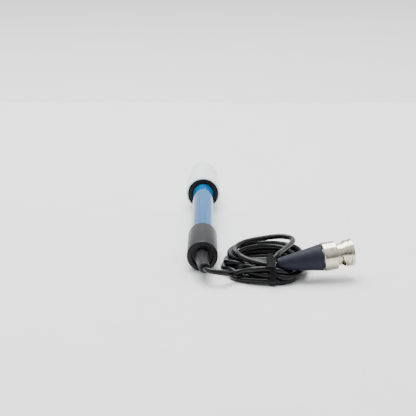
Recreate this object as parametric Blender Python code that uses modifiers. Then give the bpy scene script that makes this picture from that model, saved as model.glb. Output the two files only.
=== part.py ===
"""Laboratory pH electrode in its storage bottle, with a coiled coax lead that ends in a BNC plug.

Metres, +Z up. The electrode lies along +Y and its lead leaves the -Y end. The origin is on the bench,
under the middle of the electrode. Turned pieces are drawn as (radius, station) profiles, where station
runs along the piece's own axis: on the electrode from the cap's end face towards the glass bulb, and
on the plug from the boot's thin end towards the mating face.
"""

import math

import bmesh
import bpy
from mathutils import Matrix, Vector

# ---- electrode, stations measured from the end face of the cap ----
TUBE_RADIUS = 0.0060
TUBE_BORE = 0.0048
TUBE_START = 0.0083
TUBE_END = 0.1390
CAP_LENGTH = 0.0330
CAP_RADIUS = 0.0080
CAP_REAR_RADIUS = 0.0077
RECESS_RADIUS = 0.0057
PLUG_FACE = 0.0015
RELIEF_LENGTH = 0.0180
RELIEF_BEND = 0.0014
RELIEF_BASE_RADIUS = 0.0040
RELIEF_TIP_RADIUS = 0.0027
STEM_RADIUS = 0.0022
STEM_BORE = 0.0017
BULB_RADIUS = 0.0032
BULB_CENTRE = 0.1342
GLASS_WALL = 0.0004
WIRE_RADIUS = 0.00035
SIDE_WIRE_OFFSET = 0.0035

# ---- storage bottle, same stations ----
STORE_START = 0.1125
STORE_CAP_LENGTH = 0.0200
STORE_CAP_RADIUS = 0.00995
GLAND_RADIUS = 0.00870
GLAND_LENGTH = 0.0030
BOTTLE_RADIUS = 0.0085
BOTTLE_WALL = 0.0011
BOTTLE_END = 0.1555
FOOT_ROUNDING = 0.0028
NECK_RADIUS = 0.0078
NECK_BORE = 0.0070

# ---- lead ----
LEAD_RADIUS = 0.0014
COIL_CENTRE = (0.0310, -0.0645)
COIL_OUTER = (0.0210, 0.02375)
COIL_INNER = (0.0100, 0.0115)
COIL_BASE = 0.0002
COIL_HEIGHT = 0.0100
TIE_X = 0.0350
TIE_WIDTH = 0.0030
TIE_THICKNESS = 0.0009
TIE_LOW = (-0.0898, 0.0)
TIE_HIGH = (-0.0722, 0.0113)
TIE_HEAD = (0.0040, 0.0060, 0.0026)

# ---- plug, stations measured from the thin end of the boot ----
PLUG_ORIGIN = (0.0375, -0.0850, 0.00925)
PLUG_TURN = math.radians(11.0)
PLUG_RISE = math.radians(6.0)
BOOT_LENGTH = 0.0225
BOOT_THIN_RADIUS = 0.0030
BOOT_THICK_RADIUS = 0.0067
GRIP_RADIUS = 0.00725
WAIST_RADIUS = 0.0055
RIM_RADIUS = 0.0069
SLEEVE_BORE = 0.0049
PLUG_LENGTH = 0.0386
CONTACT_RADIUS = 0.00405
PIN_RADIUS = 0.00068
BAYONET_STATION = 0.0317
BAYONET_SWEEP = math.radians(62.0)
BAYONET_LEAD = 0.0019
LOCK_ANGLE = math.radians(2.0)
WAVE_HEIGHT = 0.0004

GAP = 0.0003
BEND_POWER = 2.5
RELIEF_TIP_SLOPE = RELIEF_BEND * BEND_POWER / RELIEF_LENGTH
RELIEF_REACH = RELIEF_LENGTH + RELIEF_TIP_RADIUS * RELIEF_TIP_SLOPE
ELECTRODE_LIFT = math.asin((STORE_CAP_RADIUS - CAP_RADIUS) / (STORE_START + 0.0005))
FOOT_REACH = BOTTLE_END + (BOTTLE_RADIUS - FOOT_ROUNDING) * math.sin(ELECTRODE_LIFT)
CAP_FACE_Y = (RELIEF_REACH - FOOT_REACH) / 2
FINE_STEPS = 36
SMALL_STEPS = 24
MERGE = 0.00001

# colour, roughness, metallic
FINISHES = {
    "blue_plastic": ((0.02, 0.22, 0.62), 0.12, 0.0),
    "black_plastic": ((0.020, 0.020, 0.022), 0.35, 0.0),
    "black_rubber": ((0.016, 0.016, 0.018), 0.50, 0.0),
    "milky_plastic": ((0.80, 0.85, 0.88), 0.35, 0.0),
    "navy_rubber": ((0.030, 0.034, 0.055), 0.50, 0.0),
    "nickel": ((0.72, 0.68, 0.60), 0.22, 1.0),
    "gold": ((0.90, 0.66, 0.28), 0.20, 1.0),
    "silver": ((0.80, 0.80, 0.78), 0.30, 1.0),
    "glass": ((0.85, 0.92, 0.92), 0.05, 0.0),
    "ceramic": ((0.86, 0.84, 0.80), 0.70, 0.0),
    "epoxy": ((0.10, 0.09, 0.08), 0.45, 0.0),
    "white_ptfe": ((0.88, 0.88, 0.86), 0.45, 0.0),
    "red_silicone": ((0.45, 0.06, 0.04), 0.60, 0.0),
}


# ---- making things ----
def clear_scene():
    for obj in list(bpy.data.objects):
        bpy.data.objects.remove(obj, do_unlink=True)


def new_collection(name, hidden=False):
    collection = bpy.data.collections.new(name)
    collection.hide_render = hidden
    bpy.context.scene.collection.children.link(collection)
    return collection


clear_scene()
PARTS = new_collection("ph_electrode")
CUTTERS = new_collection("cutters", hidden=True)


def finish(obj, finish_name):
    """Gives the object a material of its own in one of the finishes above."""
    colour, roughness, metallic = FINISHES[finish_name]
    material = bpy.data.materials.new(f"{obj.name}_{finish_name}")
    material.use_nodes = True
    shader = material.node_tree.nodes["Principled BSDF"]
    shader.inputs["Base Color"].default_value = (*colour, 1.0)
    shader.inputs["Roughness"].default_value = roughness
    shader.inputs["Metallic"].default_value = metallic
    obj.data.materials.clear()
    obj.data.materials.append(material)


def add(name, data, finish_name, parent=None, location=(0.0, 0.0, 0.0)):
    """Puts data in the scene as a part, or as a cutter when it has no finish."""
    obj = bpy.data.objects.new(name, data)
    obj.parent = parent
    obj.location = location
    if finish_name:
        PARTS.objects.link(obj)
        finish(obj, finish_name)
    else:
        CUTTERS.objects.link(obj)
        obj.hide_render = True
        obj.display_type = "WIRE"
    return obj


def axis_empty(name, location, direction):
    """An empty whose Z axis points along direction and whose X axis stays level."""
    along = Vector(direction).normalized()
    level = along.cross(Vector((0.0, 0.0, 1.0))).normalized()
    turn = Matrix((level, along.cross(level), along)).transposed().to_4x4()
    empty = bpy.data.objects.new(name, None)
    PARTS.objects.link(empty)
    empty.empty_display_size = 0.01
    empty.matrix_world = Matrix.Translation(location) @ turn
    return empty


def turned(name, profile, finish_name, parent, closed=True, steps=FINE_STEPS):
    """A Screw of (radius, station) points that run down the outer side and back up the inner one."""
    points = [(radius, 0.0, station) for radius, station in profile]
    edges = [(i, i + 1) for i in range(len(points) - 1)]
    if closed:
        edges.append((len(points) - 1, 0))
    mesh = bpy.data.meshes.new(name)
    mesh.from_pydata(points, edges, [])
    obj = add(name, mesh, finish_name, parent)
    screw = obj.modifiers.new("turn", "SCREW")
    screw.steps = steps
    screw.render_steps = steps
    screw.use_merge_vertices = True
    screw.merge_threshold = MERGE
    return obj


def sleeve(outer, inner, start, end):
    return [(outer, end), (outer, start), (inner, start), (inner, end)]


def rod(radius, start, end):
    return [(0.0, end), (radius, end), (radius, start), (0.0, start)]


def box(name, low, high, finish_name=None, parent=None, turn=0.0):
    """A box between two corners, in the parent's frame, turned about the parent's Z axis."""
    low = Vector(low)
    high = Vector(high)
    mesh = bpy.data.meshes.new(name)
    builder = bmesh.new()
    bmesh.ops.create_cube(builder, size=1.0)
    size = Matrix.Diagonal((*(high - low), 1.0))
    place = Matrix.Rotation(turn, 4, "Z") @ Matrix.Translation((low + high) / 2) @ size
    bmesh.ops.transform(builder, matrix=place, verts=builder.verts)
    builder.to_mesh(mesh)
    builder.free()
    return add(name, mesh, finish_name, parent)


def peg(name, radius, length, matrix, finish_name=None, parent=None, sides=12):
    """A capped cylinder that starts at the matrix's origin and runs along its Z axis."""
    mesh = bpy.data.meshes.new(name)
    builder = bmesh.new()
    bmesh.ops.create_cone(
        builder, cap_ends=True, segments=sides, radius1=radius, radius2=radius, depth=length
    )
    centred = matrix @ Matrix.Translation((0.0, 0.0, length / 2))
    bmesh.ops.transform(builder, matrix=centred, verts=builder.verts)
    builder.to_mesh(mesh)
    builder.free()
    mesh.shade_smooth()
    mesh.set_sharp_from_angle(angle=math.radians(40.0))
    return add(name, mesh, finish_name, parent)


def tube_along(name, points, radii, finish_name, parent=None, resolution=2):
    """A round tube through the points, with a radius of its own at each."""
    curve = bpy.data.curves.new(name, "CURVE")
    curve.dimensions = "3D"
    curve.bevel_depth = 1.0
    curve.bevel_resolution = resolution
    curve.use_fill_caps = True
    spline = curve.splines.new("POLY")
    spline.points.add(len(points) - 1)
    for point, co, radius in zip(spline.points, points, radii):
        point.co = (*co, 1.0)
        point.radius = radius
    return add(name, curve, finish_name, parent)


def as_mesh(obj):
    """The curve as an object with a closed mesh, in its place."""
    bpy.context.view_layer.update()
    graph = bpy.context.evaluated_depsgraph_get()
    mesh = bpy.data.meshes.new_from_object(obj.evaluated_get(graph))
    builder = bmesh.new()
    builder.from_mesh(mesh)
    bmesh.ops.remove_doubles(builder, verts=builder.verts, dist=MERGE)
    builder.to_mesh(mesh)
    builder.free()
    name = obj.name
    parent = obj.parent
    inverse = obj.matrix_parent_inverse.copy()
    local = obj.matrix_basis.copy()
    hidden = obj.hide_render
    material = obj.data.materials[0] if obj.data.materials else None
    bpy.data.objects.remove(obj, do_unlink=True)
    solid = bpy.data.objects.new(name, mesh)
    solid.parent = parent
    solid.matrix_parent_inverse = inverse
    solid.matrix_basis = local
    mesh.materials.clear()
    if material:
        mesh.materials.append(material)
    if hidden:
        CUTTERS.objects.link(solid)
        solid.hide_render = True
        solid.display_type = "WIRE"
    else:
        PARTS.objects.link(solid)
    return solid


def combine(target, other, operation="DIFFERENCE"):
    modifier = target.modifiers.new(other.name, "BOOLEAN")
    modifier.operation = operation
    modifier.object = other


def arc(centre, radius, start, end, count):
    """(radius, station) points on an arc, angles in degrees from the outward direction."""
    points = []
    for i in range(count):
        angle = math.radians(start + (end - start) * i / (count - 1))
        points.append((centre[0] + radius * math.cos(angle), centre[1] + radius * math.sin(angle)))
    return points


# ---- the two axes that most pieces are turned about ----
ELECTRODE = axis_empty(
    "electrode_axis",
    (0.0, CAP_FACE_Y, CAP_RADIUS),
    (0.0, math.cos(ELECTRODE_LIFT), math.sin(ELECTRODE_LIFT)),
)
PLUG_DIRECTION = (
    math.cos(PLUG_RISE) * math.cos(PLUG_TURN),
    math.cos(PLUG_RISE) * math.sin(PLUG_TURN),
    math.sin(PLUG_RISE),
)
PLUG = axis_empty("plug_axis", PLUG_ORIGIN, PLUG_DIRECTION)


# ---- cap end of the electrode ----
def top_cap():
    """Black cap, a hollow shell: a recess for the plug disc, a shoulder, and the bore that holds the tube."""
    edge = 0.0008
    outer = [(CAP_REAR_RADIUS - edge / 2, CAP_LENGTH), (CAP_REAR_RADIUS, CAP_LENGTH - edge / 2)]
    outer += arc((CAP_RADIUS - edge, edge), edge, 0.0, -90.0, 4)
    inner = [
        (RECESS_RADIUS, 0.0),
        (RECESS_RADIUS, 0.0045),
        (0.0050, 0.0045),
        (0.0050, TUBE_START - GAP),
        (TUBE_RADIUS + GAP, TUBE_START - GAP),
        (TUBE_RADIUS + GAP, CAP_LENGTH),
    ]
    turned("top_cap", outer + inner, "black_plastic", ELECTRODE)


def cap_plug():
    """Disc set in the cap's recess, around the stem of the strain relief."""
    disc = sleeve(RECESS_RADIUS - GAP, 0.0029, PLUG_FACE, 0.0042)
    turned("cap_plug", disc, "black_plastic", ELECTRODE)


def relief_point(station):
    """Centre of the strain relief at a station: straight in the cap, then bending sideways."""
    share = max(0.0, -station) / RELIEF_LENGTH
    return Vector((RELIEF_BEND * share**BEND_POWER, 0.0, station))


def strain_relief():
    """Tapered rubber relief with a flange behind the plug disc, bored for the lead."""
    stations = [0.0063, 0.0048, 0.00478, 0.00122, 0.0012]
    radii = [0.0043, 0.0043, 0.0026, 0.0026, RELIEF_BASE_RADIUS]
    outside = 9
    for i in range(1, outside + 1):
        share = i / outside
        stations.append(-RELIEF_LENGTH * share)
        radii.append(RELIEF_BASE_RADIUS + (RELIEF_TIP_RADIUS - RELIEF_BASE_RADIUS) * share)
    points = [relief_point(station) for station in stations]
    body = as_mesh(tube_along("strain_relief", points, radii, "black_rubber", ELECTRODE, 6))
    bore_stations = [0.0080 - 0.0275 * i / 11 for i in range(12)]
    bore_points = [relief_point(station) for station in bore_stations]
    bore_radii = [LEAD_RADIUS + GAP] * len(bore_points)
    bore = as_mesh(tube_along("relief_bore", bore_points, bore_radii, None, ELECTRODE, 4))
    combine(body, bore)


def lead_inner_end():
    """The lead's own end inside the relief, up to where its jacket is stripped."""
    stations = [0.0066 - (0.0066 + RELIEF_LENGTH - GAP) * i / 9 for i in range(10)]
    points = [relief_point(station) for station in stations]
    tube_along("lead_inner_end", points, [LEAD_RADIUS] * len(points), "black_rubber", ELECTRODE)


# ---- sensing parts ----
def body_tube():
    """Blue tube, open at the tip, where two crossing slots leave four guard fingers round the bulb."""
    edge = 0.0006
    profile = [
        (TUBE_RADIUS - edge, TUBE_END),
        (TUBE_RADIUS, TUBE_END - edge),
        (TUBE_RADIUS, TUBE_START),
        (TUBE_BORE, TUBE_START),
        (TUBE_BORE, TUBE_END),
    ]
    tube = turned("body_tube", profile, "blue_plastic", ELECTRODE)
    slot = 0.0026
    reach = 0.0080
    for i in range(2):
        low = (-slot, -reach, TUBE_END - 0.0075)
        high = (slot, reach, TUBE_END + 0.0010)
        combine(tube, box(f"guard_slot_{i + 1}", low, high, None, ELECTRODE, math.radians(45 + 90 * i)))


def glass_stem():
    stem = sleeve(STEM_RADIUS, STEM_BORE, 0.0210, 0.1305)
    turned("inner_stem", stem, "glass", ELECTRODE, steps=SMALL_STEPS)


def glass_bulb():
    """Hollow bulb with an open neck that faces the stem."""
    neck = math.degrees(math.asin(STEM_RADIUS / BULB_RADIUS))
    centre = (0.0, BULB_CENTRE)
    inside = BULB_RADIUS - GLASS_WALL
    inside_neck = math.degrees(math.asin((STEM_RADIUS - GLASS_WALL) / inside))
    outer = arc(centre, BULB_RADIUS, 90.0, neck - 90.0, 9)
    inner = arc(centre, inside, inside_neck - 90.0, 90.0, 9)
    rim = [(STEM_RADIUS, 0.1308), (STEM_RADIUS - GLASS_WALL, 0.1308)]
    outer[0] = (0.0, outer[0][1])
    inner[-1] = (0.0, inner[-1][1])
    turned("ph_bulb", outer + rim + inner, "glass", ELECTRODE, closed=False, steps=SMALL_STEPS)


def sensing_wires():
    """Silver wires: one down the middle to the bulb, one beside the stem for the reference side."""
    middle = [
        (0.0, 0.1330),
        (0.0006, 0.1330),
        (0.0006, 0.1240),
        (WIRE_RADIUS, 0.1240),
        (WIRE_RADIUS, 0.0203),
        (0.0, 0.0203),
    ]
    turned("measuring_wire", middle, "silver", ELECTRODE, closed=False, steps=8)
    start = Matrix.Translation((0.0, SIDE_WIRE_OFFSET, 0.0120))
    peg("reference_wire", WIRE_RADIUS, 0.0830, start, "silver", ELECTRODE, 8)


def end_plug():
    """Seal between the stem and the tube at the tip, with a hole for the porous junction."""
    seal = turned("end_plug", sleeve(0.0045, 0.0025, 0.1270, 0.1300), "epoxy", ELECTRODE)
    start = Matrix.Translation((0.0, SIDE_WIRE_OFFSET, 0.1260))
    combine(seal, peg("junction_hole", 0.0007, 0.0050, start, None, ELECTRODE, 10))
    start = Matrix.Translation((0.0, SIDE_WIRE_OFFSET, 0.1268))
    peg("junction", 0.0004, 0.0035, start, "ceramic", ELECTRODE, 8)


def cable_end():
    """Coax core, its shrink sleeve and the potting that seals the tube."""
    turned("coax_core", rod(0.0009, 0.0069, 0.0200), "white_ptfe", ELECTRODE, closed=False, steps=12)
    turned("shrink_sleeve", sleeve(0.0018, 0.0012, 0.0086, 0.0125), "black_rubber", ELECTRODE, steps=14)
    potting = turned("potting", sleeve(0.0045, 0.0012, 0.0130, 0.0200), "epoxy", ELECTRODE)
    start = Matrix.Translation((0.0, SIDE_WIRE_OFFSET, 0.0120))
    combine(potting, peg("potting_hole", 0.00065, 0.0090, start, None, ELECTRODE, 10))


# ---- storage bottle ----
def soaker_cap():
    """Milky screw cap: a mouth that holds the black gland, a ledge behind it, then the bore for the neck."""
    edge = 0.0005
    end = STORE_START + STORE_CAP_LENGTH
    mouth = STORE_START + GLAND_LENGTH + 2 * GAP
    profile = [
        (STORE_CAP_RADIUS - edge, end),
        (STORE_CAP_RADIUS, end - edge),
        (STORE_CAP_RADIUS, STORE_START + edge),
        (STORE_CAP_RADIUS - edge, STORE_START),
        (GLAND_RADIUS + GAP, STORE_START),
        (GLAND_RADIUS + GAP, mouth),
        (TUBE_RADIUS + GAP, mouth),
        (TUBE_RADIUS + GAP, mouth + 0.0012),
        (NECK_RADIUS + 0.0007, mouth + 0.0012),
        (NECK_RADIUS + 0.0007, end),
    ]
    turned("soaker_cap", profile, "milky_plastic", ELECTRODE)


def soaker_gland():
    """Black rubber ring in the cap's mouth. It slides on the tube and keeps the liquid in."""
    edge = 0.0003
    start = STORE_START + GAP
    end = start + GLAND_LENGTH
    profile = [
        (GLAND_RADIUS - edge, end),
        (GLAND_RADIUS, end - edge),
        (GLAND_RADIUS, start + edge),
        (GLAND_RADIUS - edge, start),
        (TUBE_RADIUS + GAP + edge, start),
        (TUBE_RADIUS + GAP, start + edge),
        (TUBE_RADIUS + GAP, end),
    ]
    turned("soaker_gland", profile, "black_rubber", ELECTRODE)


def soaker_o_ring():
    section = 0.0006
    ring = arc((0.0071, STORE_START + 0.0058), section, 90.0, -225.0, 8)
    turned("soaker_o_ring", ring, "black_rubber", ELECTRODE, steps=SMALL_STEPS)


def soaker_bottle():
    """Milky bottle: a neck inside the cap, a shoulder, a straight wall and a rounded foot."""
    neck_start = STORE_START + 0.0071
    shoulder = STORE_START + STORE_CAP_LENGTH + 0.0005
    foot = FOOT_ROUNDING
    inner_foot = foot - BOTTLE_WALL
    inner_radius = BOTTLE_RADIUS - BOTTLE_WALL
    inner_end = BOTTLE_END - BOTTLE_WALL
    outer = [(0.0, BOTTLE_END)]
    outer += arc((BOTTLE_RADIUS - foot, BOTTLE_END - foot), foot, 90.0, 0.0, 5)
    outer += arc((BOTTLE_RADIUS - 0.0005, shoulder + 0.0005), 0.0005, 0.0, -90.0, 3)
    outer += [(NECK_RADIUS, shoulder), (NECK_RADIUS, neck_start)]
    inner = [
        (NECK_BORE, neck_start),
        (NECK_BORE, shoulder + BOTTLE_WALL),
        (inner_radius - 0.0005, shoulder + BOTTLE_WALL),
        (inner_radius, shoulder + BOTTLE_WALL + 0.0005),
    ]
    inner += arc((inner_radius - inner_foot, inner_end - inner_foot), inner_foot, 0.0, 90.0, 4)
    inner += [(0.0, inner_end)]
    turned("soaker_bottle", outer + inner, "milky_plastic", ELECTRODE, closed=False)


# ---- lead ----
def smooth_points(route, spacing):
    """Points every spacing along a Catmull-Rom curve through the route."""
    ends = [2 * Vector(route[0]) - Vector(route[1]), 2 * Vector(route[-1]) - Vector(route[-2])]
    knots = [ends[0]] + [Vector(point) for point in route] + [ends[1]]
    fine = []
    steps = 40
    for a, b, c, d in zip(knots, knots[1:], knots[2:], knots[3:]):
        for i in range(steps):
            t = i / steps
            fine.append(
                0.5 * (2 * b + (c - a) * t + (2 * a - 5 * b + 4 * c - d) * t**2
                       + (3 * b - a - 3 * c + d) * t**3)
            )
    fine.append(knots[-2])
    lengths = [0.0]
    for a, b in zip(fine, fine[1:]):
        lengths.append(lengths[-1] + (b - a).length)
    count = max(2, round(lengths[-1] / spacing))
    points = []
    at = 0
    for i in range(count + 1):
        wanted = lengths[-1] * i / count
        while at < len(fine) - 2 and lengths[at + 1] < wanted:
            at += 1
        share = (wanted - lengths[at]) / (lengths[at + 1] - lengths[at])
        points.append(fine[at].lerp(fine[at + 1], share))
    return points


# From the relief's tip the lead turns to the side, sinks and runs up to the coil.
FREE_ROUTE = [
    (0.00155, -0.08715, 0.00770),
    (0.00300, -0.08960, 0.00780),
    (0.00560, -0.09090, 0.00760),
    (0.00860, -0.09070, 0.00700),
    (0.01180, -0.08930, 0.00620),
    (0.01500, -0.08690, 0.00560),
    (0.01740, -0.08480, 0.00530),
]


def free_lead():
    points = smooth_points(FREE_ROUTE, 2.2 * LEAD_RADIUS)
    tube_along("lead", points, [LEAD_RADIUS] * len(points), "black_rubber")


def oval(centre, radii, count):
    points = []
    for i in range(count):
        angle = 2 * math.pi * i / count
        x = centre[0] + radii[0] * math.cos(angle)
        y = centre[1] + radii[1] * math.sin(angle)
        points.append((x, y))
    return points


def extruded(name, outlines, thickness, finish_name, matrix):
    """A flat outline, with a hole when there are two, extruded both ways from its plane."""
    curve = bpy.data.curves.new(name, "CURVE")
    curve.dimensions = "2D"
    curve.fill_mode = "BOTH"
    curve.extrude = thickness / 2
    for outline in outlines:
        spline = curve.splines.new("POLY")
        spline.points.add(len(outline) - 1)
        for point, (x, y) in zip(spline.points, outline):
            point.co = (x, y, 0.0, 1.0)
        spline.use_cyclic_u = True
    obj = add(name, curve, finish_name)
    obj.matrix_basis = matrix
    return as_mesh(obj)


def rectangle(low, high, grow):
    left = low[0] - grow
    bottom = low[1] - grow
    right = high[0] + grow
    top = high[1] + grow
    return [(left, bottom), (right, bottom), (right, top), (left, top)]


def lead_coil():
    """The outer shape of the loose oval coil, with room for the tie and for the boot that lies on it."""
    height = Matrix.Translation((0.0, 0.0, COIL_BASE + COIL_HEIGHT / 2))
    outlines = [oval(COIL_CENTRE, COIL_OUTER, 36), oval(COIL_CENTRE, COIL_INNER, 24)]
    coil = extruded("lead_coil", outlines, COIL_HEIGHT, "black_rubber", height)
    across = Matrix.Translation((TIE_X, 0.0, 0.0)) @ Matrix(
        ((0, 0, 1, 0), (1, 0, 0, 0), (0, 1, 0, 0), (0, 0, 0, 1))
    )
    room = [rectangle(TIE_LOW, TIE_HIGH, GAP + 0.0010), rectangle(TIE_LOW, TIE_HIGH, -TIE_THICKNESS - GAP)]
    combine(coil, extruded("tie_room", room, TIE_WIDTH + 2 * GAP, None, across))
    clear = 0.0006
    cone = [
        (0.0, BOOT_LENGTH),
        (BOOT_THICK_RADIUS + clear, BOOT_LENGTH),
        (BOOT_THIN_RADIUS + clear, -GAP),
        (0.0, -GAP),
    ]
    combine(coil, turned("boot_room", cone, None, PLUG, closed=False))
    loop = [rectangle(TIE_LOW, TIE_HIGH, 0.0), rectangle(TIE_LOW, TIE_HIGH, -TIE_THICKNESS)]
    tie = extruded("lead_tie", loop, TIE_WIDTH, "black_plastic", across)
    middle = Vector((TIE_X - 0.0006, TIE_LOW[0] + 0.0065, TIE_HIGH[1] + TIE_HEAD[2] / 2 - 0.0002))
    half = Vector(TIE_HEAD) / 2
    combine(tie, box("tie_head", middle - half, middle + half), "UNION")


# ---- plug ----
def boot():
    """Tapered rubber boot over the rear of the plug."""
    profile = [
        (BOOT_THICK_RADIUS - 0.0003, BOOT_LENGTH),
        (BOOT_THICK_RADIUS, BOOT_LENGTH - 0.0004),
        (BOOT_THIN_RADIUS, 0.0006),
        (BOOT_THIN_RADIUS - 0.0004, 0.0),
        (LEAD_RADIUS + GAP, 0.0),
        (LEAD_RADIUS + GAP, 0.0070),
        (0.0033, 0.0070),
        (0.0033, 0.0165),
        (0.0042, 0.0165),
        (0.0042, BOOT_LENGTH),
    ]
    turned("bnc_boot", profile, "navy_rubber", PLUG)


def plug_inside():
    """What the boot and the coupling hide: lead end, ferrule, insulator, pin, washers and gasket."""
    inner_lead = rod(LEAD_RADIUS, GAP, 0.0135)
    turned("lead_plug_end", inner_lead, "black_rubber", PLUG, closed=False, steps=12)
    turned("bnc_ferrule", sleeve(0.0030, 0.0018, 0.0075, 0.0140), "nickel", PLUG, steps=SMALL_STEPS)
    insulator = [
        (0.0023, 0.0325),
        (0.0023, 0.0288),
        (0.0032, 0.0288),
        (0.0032, 0.0198),
        (0.0011, 0.0198),
        (0.0011, 0.0325),
    ]
    turned("bnc_insulator", insulator, "white_ptfe", PLUG, steps=SMALL_STEPS)
    pin = [
        (0.0, 0.0359),
        (0.0003, 0.0358),
        (PIN_RADIUS, 0.0349),
        (PIN_RADIUS, 0.0145),
        (0.0, 0.0145),
    ]
    turned("bnc_centre_pin", pin, "gold", PLUG, closed=False, steps=12)
    turned("bnc_gasket", sleeve(0.0047, 0.00425, 0.0289, 0.0301), "red_silicone", PLUG)


def plug_body():
    """Plug body: shank in the boot, shaft for the coupling, flange and slotted outer contact."""
    profile = [
        (CONTACT_RADIUS - 0.0002, 0.0361),
        (CONTACT_RADIUS, 0.0358),
        (CONTACT_RADIUS, 0.0283),
        (0.0059, 0.0283),
        (0.0059, 0.0269),
        (0.0050, 0.0269),
        (0.0050, 0.0228),
        (0.0039, 0.0228),
        (0.0039, 0.0170),
        (0.0018, 0.0170),
        (0.0018, 0.0195),
        (0.0035, 0.0195),
        (0.0035, 0.0361),
    ]
    body = turned("bnc_body", profile, "nickel", PLUG)
    half = 0.0003
    for i in range(2):
        low = (-half, -0.0050, 0.0306)
        high = (half, 0.0050, 0.0370)
        combine(body, box(f"contact_slot_{i + 1}", low, high, None, PLUG, math.radians(90 * i)))


def washers():
    """Retaining ring and thrust washer that travel with the coupling, and the wave spring they press."""
    turned("bnc_retaining_ring", sleeve(0.0062, 0.0053, 0.0231, 0.0238), "nickel", PLUG, steps=SMALL_STEPS)
    turned("bnc_thrust_washer", sleeve(0.0062, 0.0053, 0.0241, 0.0248), "nickel", PLUG, steps=SMALL_STEPS)
    wave = turned("bnc_wave_washer", sleeve(0.0062, 0.0053, -0.00015, 0.00015), "nickel", PLUG)
    wave.location = (0.0, 0.0, 0.0258)
    wave = as_mesh(wave)
    for vertex in wave.data.vertices:
        vertex.co.z += WAVE_HEIGHT * math.cos(3 * math.atan2(vertex.co.y, vertex.co.x))


def helix_cutter(name, start_angle):
    """A short helical slot, radially through the waist, from the entry channel to the locking hole."""
    width = 0.0019
    inner = 0.0044
    outer = 0.0062
    low = BAYONET_STATION - width / 2
    profile = [(outer, low + width), (outer, low), (inner, low), (inner, low + width)]
    points = [(radius, 0.0, station) for radius, station in profile]
    mesh = bpy.data.meshes.new(name)
    mesh.from_pydata(points, [(0, 1), (1, 2), (2, 3), (3, 0)], [])
    obj = add(name, mesh, None, PLUG)
    screw = obj.modifiers.new("turn", "SCREW")
    screw.angle = BAYONET_SWEEP
    screw.screw_offset = BAYONET_LEAD
    screw.steps = 8
    screw.render_steps = 8
    obj = as_mesh(obj)
    builder = bmesh.new()
    builder.from_mesh(obj.data)
    bmesh.ops.holes_fill(builder, edges=builder.edges)
    bmesh.ops.recalc_face_normals(builder, faces=builder.faces)
    bmesh.ops.transform(builder, matrix=Matrix.Rotation(start_angle, 4, "Z"), verts=builder.verts)
    builder.to_mesh(obj.data)
    builder.free()
    return obj


def coupling():
    """Bayonet coupling: grip ring at the rear, waist with the slots, then a flare, a groove and the rim."""
    rim_start = 0.0367
    groove = 0.0063
    profile = [
        (RIM_RADIUS - 0.0003, PLUG_LENGTH),
        (RIM_RADIUS, PLUG_LENGTH - 0.0003),
        (RIM_RADIUS, rim_start),
        (groove, rim_start - 0.0001),
        (groove, rim_start - 0.0005),
        (0.0067, rim_start - 0.0006),
        (0.0066, 0.0347),
        (WAIST_RADIUS, 0.0331),
        (WAIST_RADIUS, 0.0304),
        (GRIP_RADIUS - 0.0005, 0.0300),
        (GRIP_RADIUS, 0.0296),
        (GRIP_RADIUS, 0.0232),
        (GRIP_RADIUS - 0.0003, 0.0229),
        (0.0065, 0.0229),
        (0.0065, 0.0287),
        (SLEEVE_BORE, 0.0287),
        (SLEEVE_BORE, PLUG_LENGTH),
    ]
    sleeve_part = turned("bnc_coupling", profile, "nickel", PLUG)
    hole = 0.0012
    for i in range(2):
        locked = math.pi * i + LOCK_ANGLE
        outward = Matrix.Rotation(locked, 4, "Z") @ Matrix.Translation((0.0, 0.0, BAYONET_STATION))
        outward = outward @ Matrix.Rotation(math.radians(90.0), 4, "Y") @ Matrix.Translation((0, 0, 0.0044))
        combine(sleeve_part, peg(f"lock_hole_{i + 1}", hole, 0.0020, outward, None, PLUG, 14))
        combine(sleeve_part, helix_cutter(f"ramp_{i + 1}", locked))
        low = (0.0044, -hole, BAYONET_STATION + BAYONET_LEAD - hole)
        high = (0.0061, hole, PLUG_LENGTH + 0.0010)
        turn = locked + BAYONET_SWEEP
        combine(sleeve_part, box(f"entry_{i + 1}", low, high, None, PLUG, turn))


def main():
    top_cap()
    cap_plug()
    strain_relief()
    lead_inner_end()
    body_tube()
    glass_stem()
    glass_bulb()
    sensing_wires()
    end_plug()
    cable_end()
    soaker_cap()
    soaker_gland()
    soaker_o_ring()
    soaker_bottle()
    free_lead()
    lead_coil()
    boot()
    plug_inside()
    plug_body()
    washers()
    coupling()


main()
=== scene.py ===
import math

import bmesh
import bpy
import numpy as np
from mathutils import Matrix, Vector


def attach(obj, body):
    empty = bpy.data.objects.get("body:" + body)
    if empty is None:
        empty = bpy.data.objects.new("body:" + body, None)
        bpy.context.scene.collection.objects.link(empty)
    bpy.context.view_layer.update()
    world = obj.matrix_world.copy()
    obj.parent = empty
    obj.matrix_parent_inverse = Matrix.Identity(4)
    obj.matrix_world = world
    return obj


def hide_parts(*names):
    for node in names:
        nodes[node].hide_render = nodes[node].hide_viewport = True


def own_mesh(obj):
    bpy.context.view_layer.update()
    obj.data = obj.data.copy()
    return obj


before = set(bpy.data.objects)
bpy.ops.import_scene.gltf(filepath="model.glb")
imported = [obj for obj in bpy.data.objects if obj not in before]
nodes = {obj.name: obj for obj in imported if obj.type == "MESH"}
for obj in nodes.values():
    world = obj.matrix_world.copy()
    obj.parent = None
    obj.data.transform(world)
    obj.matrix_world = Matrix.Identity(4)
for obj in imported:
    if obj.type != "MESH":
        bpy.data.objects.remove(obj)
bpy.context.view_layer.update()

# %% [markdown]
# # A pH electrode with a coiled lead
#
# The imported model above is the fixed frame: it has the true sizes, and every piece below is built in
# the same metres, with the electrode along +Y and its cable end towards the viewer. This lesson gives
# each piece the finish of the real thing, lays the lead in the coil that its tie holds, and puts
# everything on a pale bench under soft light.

mm = 0.001

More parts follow.
